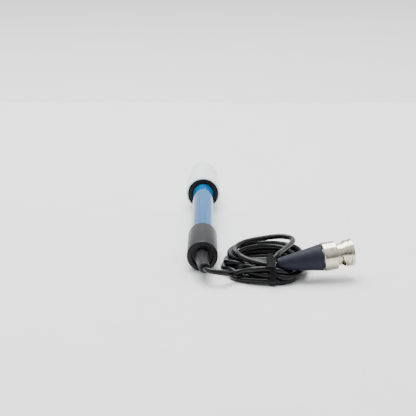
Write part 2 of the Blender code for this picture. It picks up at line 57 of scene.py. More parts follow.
# %% [markdown]
# ## The viewpoint
#
# A long lens from a good half metre away flattens the object the way a product picture does. The camera
# stands in front of the cable end, a little above the bench, and looks along the electrode.

# %% The camera
EYE = Vector((0.0029, -0.7035, 0.2170))
LOOK_DOWN = math.radians(16.1)
LENS_MM = 113.5
FILM_WIDTH_MM = 36.0
NEAREST_SEEN = 0.05
FARTHEST_SEEN = 30.0

lens = bpy.data.cameras.new("long_lens")
lens.lens = LENS_MM
lens.sensor_width = FILM_WIDTH_MM
lens.clip_start = NEAREST_SEEN
lens.clip_end = FARTHEST_SEEN
camera = bpy.data.objects.new("camera", lens)
camera.location = EYE
camera.rotation_euler = (math.pi / 2 - LOOK_DOWN, 0.0, 0.0)
bpy.context.scene.collection.objects.link(camera)
bpy.context.scene.camera = camera

# %% [markdown]
# ## The lead
#
# The lead is a thin coax, 2.8 mm across, and it is taken to be limp. It leaves the strain relief, turns
# aside, and winds eight times before it goes into the boot of the plug. A black tie holds all the turns together
# at the front, so they lie close there and fan out behind. The turns could be drawn by hand, but the
# strands would then cut through each other. So each turn starts as a simple leaning ring, and then a
# small rope simulation pushes the strands apart, rests them on the bench and evens out the bends.

# %% Where the lead runs, and where the plug lies
LEAD_RADIUS = 1.4 * mm
LEAD_STEP = 1.7 * mm
TIE_X = 35.0 * mm
PLUG_ORIGIN = Vector((37.5, -85.0, 9.25)) * mm
PLUG_TURN = math.radians(11.0)
PLUG_RISE = math.radians(6.0)
PLUG_AXIS = Vector((
    math.cos(PLUG_RISE) * math.cos(PLUG_TURN),
    math.cos(PLUG_RISE) * math.sin(PLUG_TURN),
    math.sin(PLUG_RISE),
))
INTO_BOOT = 2.2 * mm

# from the tip of the strain relief to the coil, in mm
FREE_ROUTE = [
    (1.55, -87.15, 7.70),
    (3.00, -89.60, 7.80),
    (5.60, -90.90, 7.60),
    (8.60, -90.70, 7.00),
    (11.80, -89.30, 6.20),
    (15.00, -86.90, 5.60),
    (17.40, -84.80, 5.30),
]
RISE_TO_TIE = [(22.5, -87.2, 6.8), (29.0, -88.4, 7.7)]

# where each strand passes through the tie: y and height, in mm
TIE_PASSES = [
    (-88.2, 7.9), (-89.3, 5.1), (-90.3, 2.35), (-86.6, 4.0), (-84.9, 6.25),
    (-82.0, 6.6), (-77.4, 9.2), (-80.3, 9.6), (-85.45, 9.05),
]
# how far each turn reaches: right, back and left, each with its height there, in mm
TURNS = [
    ((47.6, 3.8), (-51.4, 2.6), (17.6, 3.8)),
    ((52.4, 2.6), (-48.0, 1.6), (13.2, 2.2)),
    ((50.4, 1.5), (-45.0, 1.6), (10.3, 1.5)),
    ((48.2, 1.6), (-49.4, 4.6), (14.6, 4.6)),
    ((52.8, 5.2), (-46.4, 4.9), (12.2, 4.4)),
    ((47.4, 6.2), (-50.0, 7.6), (17.6, 6.8)),
    ((51.2, 7.4), (-47.0, 8.3), (14.2, 8.4)),
]
# the last turn lies on top and is egg-shaped: it climbs to its far right corner and comes back at the left
TOP_TURN = [
    (38.4, -75.4, 10.9), (41.6, -69.2, 11.8), (44.4, -62.6, 12.0), (46.8, -56.6, 11.9),
    (47.2, -51.0, 11.9), (43.8, -47.0, 12.0), (38.8, -47.2, 12.0), (31.5, -49.8, 11.8),
    (24.5, -52.8, 11.6), (19.4, -56.6, 11.0), (16.6, -62.4, 10.4), (16.5, -69.0, 10.0),
    (19.2, -75.8, 9.7), (24.4, -80.8, 9.4), (30.0, -84.2, 9.2),
]
print("the lead passes the tie", len(TIE_PASSES), "times")

# %% [markdown]
# Each of the lower turns is a ring that leans from one strand in the tie to the next. A power a little
# under one on the sideways swing makes the ring slightly square, as a tied coil lies, and the height runs
# smoothly from reach to reach.

# %% Draw the turns
SQUARENESS = 0.85


def eased(share):
    """Runs from 0 to 1 with a gentle start and end."""
    return share * share * (3.0 - 2.0 * share)


def turn_of_lead(start, end, right, back, left, points=16):
    """One leaning ring from pass to pass, through its right, back and left reaches."""
    heights = [start[1], right[1], back[1], left[1], end[1]]
    ring = []
    for i in range(points):
        angle = 2.0 * math.pi * i / points
        side = (right[0] if math.sin(angle) > 0 else 2 * TIE_X / mm - left[0]) - TIE_X / mm
        swing = math.copysign(abs(math.sin(angle)) ** SQUARENESS, math.sin(angle))
        front = start[0] + (end[0] - start[0]) * eased(i / points)
        quarter, along = divmod(4.0 * i / points, 1.0)
        low, high = heights[int(quarter)], heights[int(quarter) + 1]
        ring.append((
            TIE_X / mm + side * swing,
            front + (back[0] - front) * (1.0 - math.cos(angle)) / 2.0,
            low + (high - low) * eased(along),
        ))
    return ring


route = FREE_ROUTE + RISE_TO_TIE
for start, end, (right, back, left) in zip(TIE_PASSES, TIE_PASSES[1:], TURNS):
    route += turn_of_lead(start, end, right, back, left)
route += [(TIE_X / mm, *TIE_PASSES[-2])] + TOP_TURN
route = [Vector(point) * mm for point in route]
last_y, last_height = TIE_PASSES[-1]
route += [Vector((TIE_X, last_y * mm, last_height * mm))]
route += [PLUG_ORIGIN, PLUG_ORIGIN + INTO_BOOT * PLUG_AXIS]
print("knots on the lead's route:", len(route))

# %% [markdown]
# The knots are only guides. A Catmull-Rom curve passes through every one of them without corners, and
# taking points at even steps along it gives the rope simulation equal links to work with.

# %% A smooth line through the knots, with even steps
STEPS_BETWEEN_KNOTS = 24


def smooth_line(knots, step):
    """Points an even step apart on a Catmull-Rom curve through the knots."""
    knots = np.array([list(knot) for knot in knots], float)
    knots = np.vstack([2 * knots[0] - knots[1], knots, 2 * knots[-1] - knots[-2]])
    t = np.linspace(0.0, 1.0, STEPS_BETWEEN_KNOTS, endpoint=False)[:, None]
    fine = [
        0.5 * (2 * b + (c - a) * t + (2 * a - 5 * b + 4 * c - d) * t**2 + (3 * b - a - 3 * c + d) * t**3)
        for a, b, c, d in zip(knots, knots[1:], knots[2:], knots[3:])
    ]
    fine = np.vstack(fine + [knots[-2:-1]])
    run = np.concatenate([[0.0], np.cumsum(np.linalg.norm(np.diff(fine, axis=0), axis=1))])
    at = np.linspace(0.0, run[-1], max(2, round(run[-1] / step)) + 1)
    return np.column_stack([np.interp(at, run, fine[:, axis]) for axis in range(3)])


def line_length(line):
    """The length along the points."""
    return float(np.linalg.norm(np.diff(line, axis=0), axis=1).sum())


def tightest_bend(line):
    """The smallest radius between any two neighbouring links."""
    step = np.diff(line, axis=0)
    size = np.linalg.norm(step, axis=1)
    cosine = (step[1:] * step[:-1]).sum(axis=1) / (size[1:] * size[:-1])
    angle = np.arccos(np.clip(cosine, -1.0, 1.0))
    return float(((size[1:] + size[:-1]) / 2 / np.maximum(angle, 1e-6)).min())


drawn = smooth_line(route, LEAD_STEP)
print("drawn lead:", len(drawn), "points,", round(line_length(drawn), 3), "m")

# %% [markdown]
# The lead has two hard neighbours: the cap with its relief, and the tapered boot of the plug. Both are
# round about an axis, so keeping clear of them means moving a point straight out from that axis.

# %% Keep the lead clear of the cap and the boot
BOOT_LENGTH = 22.5 * mm
BOOT_THIN_RADIUS = 3.0 * mm
BOOT_THICK_RADIUS = 6.7 * mm
CAP_FACE_Y = -68.5 * mm
CAP_RADIUS = 8.0 * mm
RELIEF_RADIUS = 4.2 * mm
BOOT_CLEARANCE = 1.1 * LEAD_RADIUS


def keep_out(points, foot, radius):
    """Moves points that are nearer than radius to their foot on an axis straight out to that radius."""
    away = points - foot
    size = np.linalg.norm(away, axis=1)
    scale = np.where(size < radius, radius / np.maximum(size, 1e-9), 1.0)
    return foot + away * scale[:, None]


def clear_of_cap(points):
    """Points moved out of the cap and the relief, whose axis lies along the bench."""
    reach = np.where(points[:, 1] > CAP_FACE_Y, CAP_RADIUS, RELIEF_RADIUS) + LEAD_RADIUS
    foot = np.column_stack([np.zeros(len(points)), points[:, 1], np.full(len(points), CAP_RADIUS)])
    return keep_out(points, foot, reach)


def clear_of_boot(points):
    """Points moved out of the boot, which widens along the plug's axis."""
    axis = np.array(PLUG_AXIS)
    origin = np.array(PLUG_ORIGIN)
    along = np.clip((points - origin) @ axis, 0.0, BOOT_LENGTH)
    radius = BOOT_THIN_RADIUS + (BOOT_THICK_RADIUS - BOOT_THIN_RADIUS) * along / BOOT_LENGTH
    return keep_out(points, origin + along[:, None] * axis, radius + BOOT_CLEARANCE)


print("boot to keep clear of:", round(BOOT_LENGTH / mm, 1), "mm long")

# %% [markdown]
# A rope in a simulation is a row of points with three simple wishes. Points of two strands that overlap
# push apart, neighbours on the rope stay one link apart, and each point would like to lie halfway between
# its neighbours, which is what stiffness does.

# %% The three wishes of a strand
SHARED_PUSH = 1.4


def apart(points, first, second, distance):
    """Pushes each listed pair of points apart until the strands just touch."""
    between = points[first] - points[second]
    size = np.linalg.norm(between, axis=1) + 1e-12
    near = size < distance
    push = (0.5 * (distance - size[near]) / size[near])[:, None] * between[near]
    moves = np.zeros_like(points)
    count = np.zeros(len(points))
    for ends, sign in ((first[near], 1.0), (second[near], -1.0)):
        np.add.at(moves, ends, sign * push)
        np.add.at(count, ends, 1.0)
    return points + SHARED_PUSH * moves / np.maximum(count, 1.0)[:, None]


def even_steps(points, step):
    """Pulls neighbours back to one step apart, even pairs first and then odd ones."""
    for start in (0, 1):
        first = np.arange(start, len(points) - 1, 2)
        between = points[first + 1] - points[first]
        size = np.linalg.norm(between, axis=1)[:, None]
        shift = 0.5 * (1.0 - step / np.maximum(size, 1e-9)) * between
        points[first] += shift
        points[first + 1] -= shift
    return points


def bend_of(points):
    """How far each point lies from the middle of its two neighbours."""
    bend = np.zeros_like(points)
    bend[1:-1] = (points[:-2] + points[2:]) / 2 - points[1:-1]
    return bend


sharpest = float(np.linalg.norm(bend_of(drawn), axis=1).max())
print("sharpest corner of the drawn lead:", round(sharpest / mm, 2), "mm off a straight line")

# %% [markdown]
# Relaxing means that every wish is granted a little, many times over. The two ends of the lead are held,
# and the strands in the tie are drawn to their places. For the last quarter the drawn route lets go and the
# stiffness eases off, so that the contacts between strands have the last word.

# %% Let the strands settle
ROUNDS = 400
SETTLING_FROM = 0.75
STIFFNESS = 0.30
STIFFNESS_SETTLING = 0.12
PULL_TO_ROUTE = 0.01
PULL_TO_TIE = 0.5
PAIRS_EVERY = 8
PAIR_REACH = 4.4 * LEAD_RADIUS
SAME_STRAND = 6
STRAND_GAP = 2.06 * LEAD_RADIUS
BENCH_HEIGHT = 1.02 * LEAD_RADIUS
HELD_AT_RELIEF = 7
HELD_AT_BOOT = 4


def settle(line, passes, rounds):
    """Relaxes the drawn lead: smooth bends, touching strands, on the bench, clear of cap and boot."""
    points = line.copy()
    count = len(points)
    step = line_length(line) / (count - 1)
    held = np.zeros(count, bool)
    held[:HELD_AT_RELIEF] = True
    held[-HELD_AT_BOOT:] = True
    in_tie = {}
    for y, z in passes:
        middle = int(np.linalg.norm(line - np.array((TIE_X, y, z)), axis=1).argmin())
        free_to_turn = (y, z) == passes[-2]
        for offset in (0,) if free_to_turn else (-1, 0, 1):
            if not held[middle + offset]:
                in_tie[middle + offset] = (TIE_X + offset * step, y, z)
    tied = np.array(sorted(in_tie))
    tie_spots = np.array([in_tie[i] for i in tied])
    order = np.arange(count)
    loose = (order > HELD_AT_RELIEF + 3) & (order < count - 2 * HELD_AT_BOOT)
    for turn in range(rounds):
        settling = turn > SETTLING_FROM * rounds
        if turn % PAIRS_EVERY == 0:
            gaps = points[:, None, :] - points[None, :, :]
            near = (gaps**2).sum(axis=2) < PAIR_REACH**2
            first, second = np.nonzero(np.triu(near, SAME_STRAND))
        points -= (STIFFNESS_SETTLING if settling else STIFFNESS) * bend_of(bend_of(points))
        if not settling:
            points += PULL_TO_ROUTE * (line - points)
        points[tied] += PULL_TO_TIE * (tie_spots - points[tied])
        for _ in range(2):
            points = even_steps(points, step)
            points[held] = line[held]
            points = apart(points, first, second, STRAND_GAP)
            points[:, 2] = np.maximum(points[:, 2], BENCH_HEIGHT)
        points[loose] = clear_of_boot(clear_of_cap(points))[loose]
        points[:, 2] = np.maximum(points[:, 2], BENCH_HEIGHT)
        points[held] = line[held]
    return points


passes = [(y * mm, z * mm) for y, z in TIE_PASSES]
lead_line = settle(drawn, passes, ROUNDS)
print("settled lead:", round(line_length(lead_line), 3), "m")
print("tightest bend:", round(tightest_bend(lead_line) / mm, 1), "mm")

# %% [markdown]
# A curve with a round bevel is the simplest cord there is. Its bevel depth is one and each point's own
# radius holds the real size, because a curve's box grows by the radius of its points.

# %% The lead as a round cord
CORD_STEP = 0.9 * mm


def cord_curve(name, line, radius):
    """A round cord through the points, as one open spline."""
    curve = bpy.data.curves.new(name, "CURVE")
    curve.dimensions = "3D"
    curve.bevel_depth = 1.0
    curve.bevel_resolution = 4
    curve.use_fill_caps = True
    spline = curve.splines.new("POLY")
    spline.points.add(len(line) - 1)
    for point, place in zip(spline.points, line):
        point.co = (*place, 1.0)
        point.radius = radius
    spline.use_smooth = True
    cord = bpy.data.objects.new(name, curve)
    bpy.context.scene.collection.objects.link(cord)
    return cord


lead = cord_curve("coax_lead", smooth_line(lead_line, CORD_STEP), LEAD_RADIUS)
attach(lead, "electrode")
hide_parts("lead", "lead_coil")
print("cord:", len(lead.data.splines[0].points), "points")

# %% [markdown]
# ## The tie
#
# The tie is a small black cable tie: a flat band with a square lock, and the cut end of the band sticking
# out of the lock. It could be a bent box, but a real band is pulled snug and follows the outside of the
# bundle. So the band is wrapped round the strands where the rope simulation left them: the outline that
# encloses all of them, rounded at the corners, with a thickness and a width.

# %% The band round the strands
BAND_WIDTH = 3.0 * mm
BAND_THICKNESS = 0.8 * mm
BAND_GAP = 0.05 * mm
BAND_CORNER = 0.18 * mm
CORNER_SHARE = 0.2
UNDER_INNER = 0.85 * mm
UNDER_OUTER = 0.05 * mm
FRONT_OF_COIL_Y = -70 * mm
NEAR_TIE = 0.6 * LEAD_STEP
DIRECTIONS = 720
SMOOTH_ANGLE = math.radians(35.0)


def outline_round(centres, radius, count=72):
    """The rounded outline that encloses circles of one radius: the farthest reach in each direction."""
    angles = np.linspace(0.0, 2.0 * math.pi, DIRECTIONS, endpoint=False)
    ways = np.column_stack([np.cos(angles), np.sin(angles)])
    touched = centres[(ways @ centres.T).argmax(axis=1)] + radius * ways
    closed = np.vstack([touched, touched[:1]])
    run = np.concatenate([[0.0], np.cumsum(np.linalg.norm(np.diff(closed, axis=0), axis=1))])
    at = np.linspace(0.0, run[-1], count, endpoint=False)
    return np.column_stack([np.interp(at, run, closed[:, axis]) for axis in range(2)])


def smooth_object(name, mesh, builder, smooth_angle=SMOOTH_ANGLE):
    """An object from what was built: smooth, with sharp edges where faces meet at more than the angle."""
    builder.to_mesh(mesh)
    builder.free()
    mesh.shade_smooth()
    mesh.set_sharp_from_angle(angle=smooth_angle)
    piece = bpy.data.objects.new(name, mesh)
    bpy.context.scene.collection.objects.link(piece)
    return piece


def mesh_piece(name, points, faces, smooth_angle=SMOOTH_ANGLE):
    """A smooth piece from its points and faces, with every face looking outwards."""
    mesh = bpy.data.meshes.new(name)
    mesh.from_pydata([tuple(point) for point in points], [], faces)
    builder = bmesh.new()
    builder.from_mesh(mesh)
    bmesh.ops.recalc_face_normals(builder, faces=builder.faces)
    return smooth_object(name, mesh, builder, smooth_angle)


def ring_faces(rows, columns, close_rows=True):
    """Quads between neighbouring rings of points, round and round."""
    faces = []
    for row in range(rows if close_rows else rows - 1):
        for column in range(columns):
            beside = (column + 1) % columns
            above = (row + 1) % rows
            faces.append((
                row * columns + column, row * columns + beside,
                above * columns + beside, above * columns + column,
            ))
    return faces


crossing = lead_line[np.abs(lead_line[:, 0] - TIE_X) < NEAR_TIE]
crossing = crossing[crossing[:, 1] < FRONT_OF_COIL_Y][:, 1:]
inner = outline_round(crossing, LEAD_RADIUS + BAND_GAP)
outer = outline_round(crossing, LEAD_RADIUS + BAND_GAP + BAND_THICKNESS)
inner[:, 1] = np.maximum(inner[:, 1], UNDER_INNER)
outer[:, 1] = np.maximum(outer[:, 1], UNDER_OUTER)
half_band = BAND_WIDTH / 2
rounded = outer + (inner - outer) * CORNER_SHARE
rings = [
    (inner, -half_band), (rounded, -half_band), (outer, -half_band + BAND_CORNER),
    (outer, half_band - BAND_CORNER), (rounded, half_band), (inner, half_band),
]
band_points = [(TIE_X + x, y, z) for ring, x in rings for y, z in ring]
band = mesh_piece("tie_band", band_points, ring_faces(len(rings), len(inner)))
print("band round", len(crossing), "points of the lead, top at", round(outer[:, 1].max() / mm, 1), "mm")

# %% [markdown]
# The lock is a block with soft edges and a slot for the band, and the cut end is a thin block in line with
# that slot. One helper makes both: it starts from a cube, sinks the slot at both ends, and bevels every
# edge.

# %% The lock on the band, and the cut end that sticks out
LOCK_SIZE = Vector((4.2, 6.4, 3.2)) * mm
LOCK_PLACE = Vector((33.9, -89.0, 11.2)) * mm
LOCK_TILT = math.radians(46.0)
LOCK_EDGE = 0.35 * mm
SLOT_MARGIN = 0.8 * mm
SLOT_DEPTH = 0.5 * mm
STUB_SIZE = Vector((2.6, 2.6, 0.9)) * mm
STUB_FROM_LOCK = Vector((0.0, 3.9, 0.5)) * mm
STUB_EDGE = 0.2 * mm
EDGE_SEGMENTS = 3


def rounded_block(name, size, place, turn, edge, opening=None):
    """A block with rounded edges. With opening, a margin, both of its ends get a sunk slot inside it."""
    builder = bmesh.new()
    bmesh.ops.create_cube(builder, size=1.0)
    bmesh.ops.scale(builder, vec=size, verts=builder.verts)
    if opening:
        ends = [face for face in builder.faces if abs(face.normal.y) > 0.9]
        bmesh.ops.inset_individual(builder, faces=ends, thickness=opening, depth=-SLOT_DEPTH)
    sharp = [edge_line for edge_line in builder.edges if edge_line.calc_face_angle(0.0) > 0.5]
    bmesh.ops.bevel(
        builder, geom=sharp, offset=edge, segments=EDGE_SEGMENTS, affect="EDGES", clamp_overlap=True
    )
    bmesh.ops.transform(
        builder, matrix=Matrix.Translation(place) @ Matrix.Rotation(turn, 4, "X"), verts=builder.verts
    )
    return smooth_object(name, bpy.data.meshes.new(name), builder)


lock = rounded_block("tie_lock", LOCK_SIZE, LOCK_PLACE, LOCK_TILT, LOCK_EDGE, opening=SLOT_MARGIN)
stub_place = LOCK_PLACE + Matrix.Rotation(LOCK_TILT, 3, "X") @ STUB_FROM_LOCK
stub = rounded_block("tie_cut_end", STUB_SIZE, stub_place, LOCK_TILT, STUB_EDGE)
for piece in (lock, stub):
    piece.parent = band
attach(band, "electrode")
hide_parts("lead_tie")
tie_pieces = [band, lock, stub]
print("tie:", ", ".join(piece.name for piece in tie_pieces))

# %% [markdown]
# ## The strain relief
#
# A tapered rubber nose keeps the lead from kinking where it leaves the cap. Its sides are moulded with flat
# facets that catch the light as long stripes, and its tip is a rounded ring. A cone would show neither, so
# the nose is lofted ring by ring along the slightly bent line that the lead takes, and each ring is a soft
# polygon that turns round at the tip.

# %% Loft the relief
RELIEF_LENGTH = 18.0 * mm
RELIEF_BEND = 1.4 * mm
RELIEF_BEND_POWER = 2.5
RELIEF_BASE_RADIUS = 4.0 * mm
RELIEF_TIP_RADIUS = 2.7 * mm
RELIEF_FACETS = 8
FACET_DEPTH = 0.07
AROUND = 64
ROOT_IN_CAP = 1.0 * mm
BODY_RINGS = 22
COLLAR_START = 0.84
RELIEF_SMOOTH_ANGLE = math.radians(28.0)
STORAGE_CAP_RADIUS = 9.95 * mm
BETWEEN_THE_CAPS = 113.0 * mm
# the two caps rest on the bench and the storage cap is the thicker one, so the electrode lifts a little
LIFT = math.asin((STORAGE_CAP_RADIUS - CAP_RADIUS) / BETWEEN_THE_CAPS)
SIDEWAYS = Vector((1.0, 0.0, 0.0))
ELECTRODE_AXIS = Vector((0.0, math.cos(LIFT), math.sin(LIFT)))
ELECTRODE_UP = Vector((0.0, -math.sin(LIFT), math.cos(LIFT)))
CAP_CENTRE = Vector((0.0, CAP_FACE_Y, CAP_RADIUS))
# the rounded collar at the tip: share of the length, and radius in mm
COLLAR = ((0.855, 2.62), (0.87, 2.72), (0.90, 2.86), (0.94, 2.88), (0.975, 2.72), (0.995, 2.35), (1.0, 1.95))
# the bore inside the collar, for the lead: distance out and radius, both in mm
BORE = ((17.9, 1.62), (17.2, 1.52), (15.0, 1.50))


def relief_centre(out):
    """Where the middle of the relief lies at a distance out from the cap's face."""
    share = max(0.0, out) / RELIEF_LENGTH
    aside = RELIEF_BEND * share**RELIEF_BEND_POWER
    return CAP_CENTRE - out * ELECTRODE_AXIS + Vector((aside, 0.0, 0.0))


def relief_ring(out, radius, facet):
    """A ring of the relief, whose flats are sunk by the share facet of its radius."""
    centre = relief_centre(out)
    ring = []
    for i in range(AROUND):
        angle = 2.0 * math.pi * i / AROUND
        wave = abs(math.sin(RELIEF_FACETS * angle / 2.0))
        reach = radius * (1.0 - facet * wave)
        outward = math.cos(angle) * SIDEWAYS + math.sin(angle) * ELECTRODE_UP
        ring.append(centre + reach * outward)
    return ring


sections = [(-ROOT_IN_CAP, RELIEF_BASE_RADIUS, FACET_DEPTH)]
for i in range(BODY_RINGS):
    share = i / (BODY_RINGS - 1) * COLLAR_START
    radius = RELIEF_BASE_RADIUS + (RELIEF_TIP_RADIUS - RELIEF_BASE_RADIUS) * share
    sections.append((share * RELIEF_LENGTH, radius, FACET_DEPTH))
for share, radius in COLLAR:
    sections.append((share * RELIEF_LENGTH, radius * mm, 0.0))
for out, radius in BORE:
    sections.append((out * mm, radius * mm, 0.0))
relief_points = [point for out, radius, facet in sections for point in relief_ring(out, radius, facet)]
relief_faces = ring_faces(len(sections), AROUND, close_rows=False)
relief = mesh_piece("faceted_relief", relief_points, relief_faces, RELIEF_SMOOTH_ANGLE)
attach(relief, "electrode")
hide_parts("strain_relief")
print("relief:", len(sections), "rings of", AROUND)

# %% [markdown]
# ## The bottle's thread
#
# The storage bottle screws into its milky cap. The thread is hidden while it is done up, but it shows when
# the bottle is turned out, so the neck gets a real ridge. It is a triangle swept along a helix that fades
# in and out at its ends, as a moulded thread does.

# %% Sweep the thread along the neck
NECK_RADIUS = 7.75 * mm
RIDGE_HEIGHT = 0.45 * mm
RIDGE_HALF_WIDTH = 0.5 * mm
THREAD_PITCH = 2.0 * mm
THREAD_START = 127.6 * mm
THREAD_TURNS = 1.75
THREAD_STEPS = 130
THREAD_SMOOTH_ANGLE = math.radians(60.0)
ROOT_DEPTH = 0.1 * mm
FADE = 8.0

thread_points = []
for i in range(THREAD_STEPS + 1):
    share = i / THREAD_STEPS
    angle = 2.0 * math.pi * THREAD_TURNS * share
    fade = min(1.0, FADE * share, FADE * (1.0 - share))
    outward = math.cos(angle) * SIDEWAYS + math.sin(angle) * ELECTRODE_UP
    station = CAP_CENTRE + (THREAD_START + THREAD_PITCH * THREAD_TURNS * share) * ELECTRODE_AXIS
    root = station + (NECK_RADIUS - ROOT_DEPTH) * outward
    crest = station + (NECK_RADIUS + RIDGE_HEIGHT * fade) * outward
    half_ridge = RIDGE_HALF_WIDTH * ELECTRODE_AXIS
    thread_points += [root - half_ridge, crest, root + half_ridge]
thread_faces = ring_faces(THREAD_STEPS + 1, 3, close_rows=False)
thread_faces += [(0, 1, 2), (3 * THREAD_STEPS, 3 * THREAD_STEPS + 2, 3 * THREAD_STEPS + 1)]
thread = mesh_piece("neck_thread", thread_points, thread_faces, THREAD_SMOOTH_ANGLE)
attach(thread, "storage_bottle")
print("thread:", THREAD_TURNS, "turns of", THREAD_PITCH / mm, "mm")

# %% [markdown]
# ## The wave washer
#
# A thin wavy spring ring sits inside the coupling and holds it forward. It goes flat when the coupling is
# pushed back. The imported washer is rigid, so a ring with the same three waves replaces it here.

# %% A wave washer
WASHER_INNER = 5.3 * mm
WASHER_OUTER = 6.2 * mm
WASHER_HALF = 0.15 * mm
WASHER_STATION = 25.8 * mm
WAVE_HEIGHT = 0.4 * mm
WAVES = 3
WASHER_STEPS = 96
PLUG_SIDE = PLUG_AXIS.cross(Vector((0.0, 0.0, 1.0))).normalized()
PLUG_DOWN = PLUG_AXIS.cross(PLUG_SIDE)
WASHER_CORNERS = (
    (WASHER_INNER, -WASHER_HALF), (WASHER_OUTER, -WASHER_HALF),
    (WASHER_OUTER, WASHER_HALF), (WASHER_INNER, WASHER_HALF),
)

washer_points = []
for radius, offset in WASHER_CORNERS:
    for i in range(WASHER_STEPS):
        angle = 2.0 * math.pi * i / WASHER_STEPS
        outward = math.cos(angle) * PLUG_SIDE + math.sin(angle) * PLUG_DOWN
        station = WASHER_STATION + offset + WAVE_HEIGHT * math.cos(WAVES * angle)
        washer_points.append(PLUG_ORIGIN + station * PLUG_AXIS + radius * outward)
washer = mesh_piece("wave_spring", washer_points, ring_faces(len(WASHER_CORNERS), WASHER_STEPS))
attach(washer, "electrode")
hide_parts("bnc_wave_washer")
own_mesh(washer)
print("wave washer:", WAVES, "waves,", round(2 * (WAVE_HEIGHT + WASHER_HALF) / mm, 1), "mm high at rest")

# %% [markdown]
# ## The bench and the light
#
# The object lies on a sheet of white paper, and the paper ends some way behind it on a slightly darker
# table. The light is a large soft box overhead. A room that is bright above and behind, and dim on the
# viewer's side, keeps the near faces of the black pieces dark while their tops shine.

# %% The paper and the table
PAPER_LOW = (-2.5, -2.2)
PAPER_HIGH = (2.5, 0.36)
TABLE_HALF = 6.0
TABLE_DROP = 0.6 * mm


def flat_sheet(name, low, high, height):
    """A flat rectangle of the stage, from its low corner to its high one."""
    mesh = bpy.data.meshes.new(name)
    corners = [(low[0], low[1]), (high[0], low[1]), (high[0], high[1]), (low[0], high[1])]
    mesh.from_pydata([(x, y, height) for x, y in corners], [], [(0, 1, 2, 3)])
    sheet = bpy.data.objects.new(name, mesh)
    bpy.context.scene.collection.objects.link(sheet)
    return sheet


paper = flat_sheet("white_paper", PAPER_LOW, PAPER_HIGH, 0.0)
table = flat_sheet("pale_table", (-TABLE_HALF, -TABLE_HALF), (TABLE_HALF, TABLE_HALF), -TABLE_DROP)
print("paper ends", PAPER_HIGH[1], "m behind the middle of the electrode")

# %% [markdown]
# The room is a single smooth gradient: the direction of a ray is compared with the direction of the light,
# and the result runs from dim to bright. It costs nothing to render and leaves no hard reflections.

# %% The room
ROOM_DIM = 0.06
ROOM_BRIGHT = 1.20
ROOM_STRENGTH = 1.12
ROOM_LIGHT_FROM = (0.10, 0.72, 0.69)
ROOM_DIM_BELOW = -0.75
ROOM_BRIGHT_ABOVE = 0.35
ROOM_TINT = (0.97, 0.98, 1.0, 1.0)

room = bpy.data.worlds.new("soft_room")
room.use_nodes = True
room_nodes = room.node_tree.nodes
room_links = room.node_tree.links
way = room_nodes.new("ShaderNodeTexCoord")
towards_light = room_nodes.new("ShaderNodeVectorMath")
towards_light.operation = "DOT_PRODUCT"
towards_light.inputs[1].default_value = ROOM_LIGHT_FROM
spread = room_nodes.new("ShaderNodeMapRange")
spread.inputs["From Min"].default_value = ROOM_DIM_BELOW
spread.inputs["From Max"].default_value = ROOM_BRIGHT_ABOVE
spread.inputs["To Min"].default_value = ROOM_DIM
spread.inputs["To Max"].default_value = ROOM_BRIGHT
spread.interpolation_type = "SMOOTHSTEP"
room_links.new(way.outputs["Generated"], towards_light.inputs[0])
room_links.new(towards_light.outputs["Value"], spread.inputs["Value"])
glow = room_nodes["Background"]
glow.inputs["Color"].default_value = ROOM_TINT
strength = room_nodes.new("ShaderNodeMath")
strength.operation = "MULTIPLY"
strength.inputs[1].default_value = ROOM_STRENGTH
room_links.new(spread.outputs["Result"], strength.inputs[0])
room_links.new(strength.outputs["Value"], glow.inputs["Strength"])
bpy.context.scene.world = room
print("room from", ROOM_DIM, "to", ROOM_BRIGHT)

# %% [markdown]
# The soft box is a square area light that looks down at the object from above, behind and a little to the
# left. It is large for its distance, so the shadows on the paper have soft edges.

# %% The soft box
BOX_PLACE = (-0.10, 0.25, 1.0)
BOX_TARGET = (0.0, 0.0, 0.0)
BOX_SIZE = 0.9
BOX_WATTS = 23.0


def soft_lamp(name, place, target, size, power):
    """A square area light at a place, turned to face its target."""
    light = bpy.data.lights.new(name, "AREA")
    light.shape = "SQUARE"
    light.size = size
    light.energy = power
    lamp = bpy.data.objects.new(name, light)
    lamp.location = place
    lamp.rotation_euler = (Vector(target) - Vector(place)).to_track_quat("-Z", "Y").to_euler()
    bpy.context.scene.collection.objects.link(lamp)
    return lamp


overhead = soft_lamp("overhead_box", BOX_PLACE, BOX_TARGET, BOX_SIZE, BOX_WATTS)
print(overhead.name, "is", BOX_SIZE, "m across and gives", BOX_WATTS, "W")

# %% [markdown]
# ## Finishes
#
# No plastic is one flat colour when you look closely. A moulding has a very fine grain, its gloss changes
# a little from place to place, and its tone drifts where the melt flowed. One helper builds that for every
# moulded or rubber piece: a slow noise for tone, a middle one for gloss, and a fine one for the bump. The
# noise is measured in metres on the object itself, so its grain stays put when a piece moves.

# %% Helpers for tone and roughness
NOISE_LOW = 0.3
NOISE_HIGH = 0.7


def base_finish(name):
    """A new material with its nodes and links."""
    material = bpy.data.materials.new(name)
    material.use_nodes = True
    return material, material.node_tree.nodes, material.node_tree.links


def noise_at(tree_nodes, links, place, size, detail=3.0):
    """Noise whose patches are about size metres across."""
    noise = tree_nodes.new("ShaderNodeTexNoise")
    noise.inputs["Scale"].default_value = 1.0 / size
    noise.inputs["Detail"].default_value = detail
    links.new(place, noise.inputs["Vector"])
    return noise.outputs["Fac"]


def spread_between(tree_nodes, links, value, low, high):
    """Stretches a noise, whose values crowd round one half, over the range from low to high."""
    reach = tree_nodes.new("ShaderNodeMapRange")
    reach.inputs["From Min"].default_value = NOISE_LOW
    reach.inputs["From Max"].default_value = NOISE_HIGH
    reach.inputs["To Min"].default_value = low
    reach.inputs["To Max"].default_value = high
    links.new(value, reach.inputs["Value"])
    return reach.outputs["Result"]


